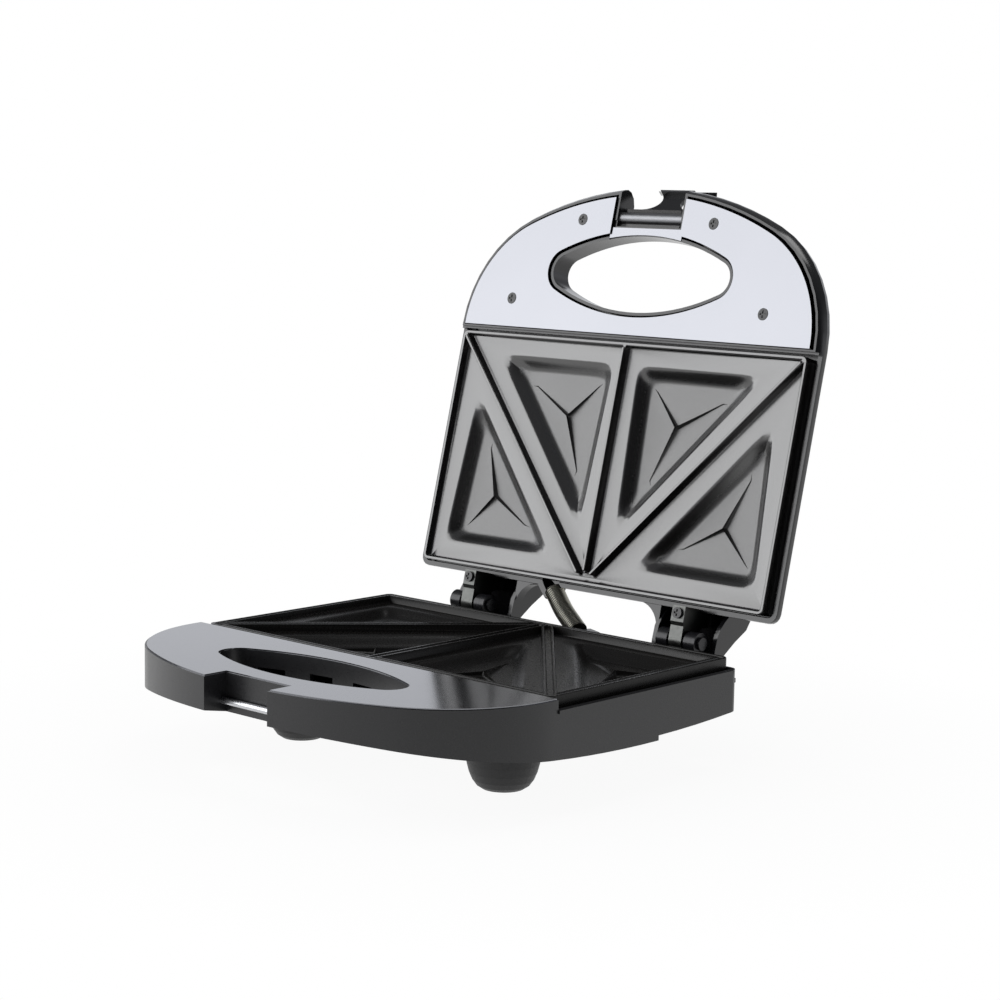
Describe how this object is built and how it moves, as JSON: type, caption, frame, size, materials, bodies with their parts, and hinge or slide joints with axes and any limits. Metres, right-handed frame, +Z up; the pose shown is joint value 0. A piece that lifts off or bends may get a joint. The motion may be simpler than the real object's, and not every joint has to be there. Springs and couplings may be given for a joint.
{
  "type": "sandwich toaster",
  "caption": "Electric sandwich toaster with square plates cut into triangle pockets, a hinged lid, an oval hand hole in both handle halves and a hooked latch.",
  "frame": {"origin": "on the table, under the middle of the open toaster's outline", "axes": "+Z up, -Y towards the handle, +X to the right of someone who faces the hinges from the handle"},
  "size_m": [0.2276, 0.2943, 0.256],
  "materials": {
    "housing": "satin moulded charcoal",
    "bottom": "matt moulded charcoal",
    "handle_cover": "polished, smoked",
    "feet": "matt black",
    "nonstick": "non-stick coat with a soft sheen",
    "element": "heat-darkened steel sheath",
    "sheet_steel": "plain bright sheet",
    "fittings": "bright plated",
    "zinc": "zinc plated",
    "black_metal": "black oxide",
    "conduit": "bare wound strip",
    "ceramic": "unglazed",
    "lead": "matt silicone sleeve",
    "lens_red": "clear red",
    "lens_green": "clear green"
  },
  "bodies": {
    "base": {"base_housing": "housing", "base_bottom": "bottom", "bottom_screws": "fittings", "base_handle_cover": "handle_cover", "front_feet": "feet", "rear_feet": "feet", "lower_plate": "nonstick", "lower_plate_screws": "fittings", "lower_element": "element", "lower_reflector": "sheet_steel", "thermostat": "fittings", "thermal_fuse": "ceramic", "terminal_block": "ceramic", "base_wires": "lead", "catch_rod": "fittings", "cable_gland": "feet", "base_hinge_left": "black_metal", "base_hinge_right": "black_metal", "base_hinge_screws": "fittings", "hinge_pin_left": "fittings", "hinge_pin_right": "fittings", "conduit": "conduit", "conduit_wires": "lead"},
    "lid": {"lid_housing": "housing", "lid_handle_cover": "handle_cover", "cover_screws": "black_metal", "upper_plate": "nonstick", "upper_plate_screws": "fittings", "upper_element": "element", "upper_reflector": "sheet_steel", "lid_wires": "lead", "lid_hinge_left": "zinc", "lid_hinge_right": "zinc", "lid_hinge_screws": "black_metal", "power_lens": "lens_red", "ready_lens": "lens_green", "latch_pin": "fittings"},
    "latch": {"latch": "housing"}
  },
  "joints": [
    {"name": "lid_hinge", "type": "hinge", "parent": "base", "child": "lid", "pos_m": [0, 0.06658, 0.0498], "axis": [1, 0, 0], "range_deg": [0, 103.8], "deforming": ["conduit", "conduit_wires"]},
    {"name": "latch_pivot", "type": "hinge", "parent": "lid", "child": "latch", "pos_m": [0, 0.12066, 0.24189], "axis": [1, 0, 0], "range_deg": [0, 114.4]}
  ]
}
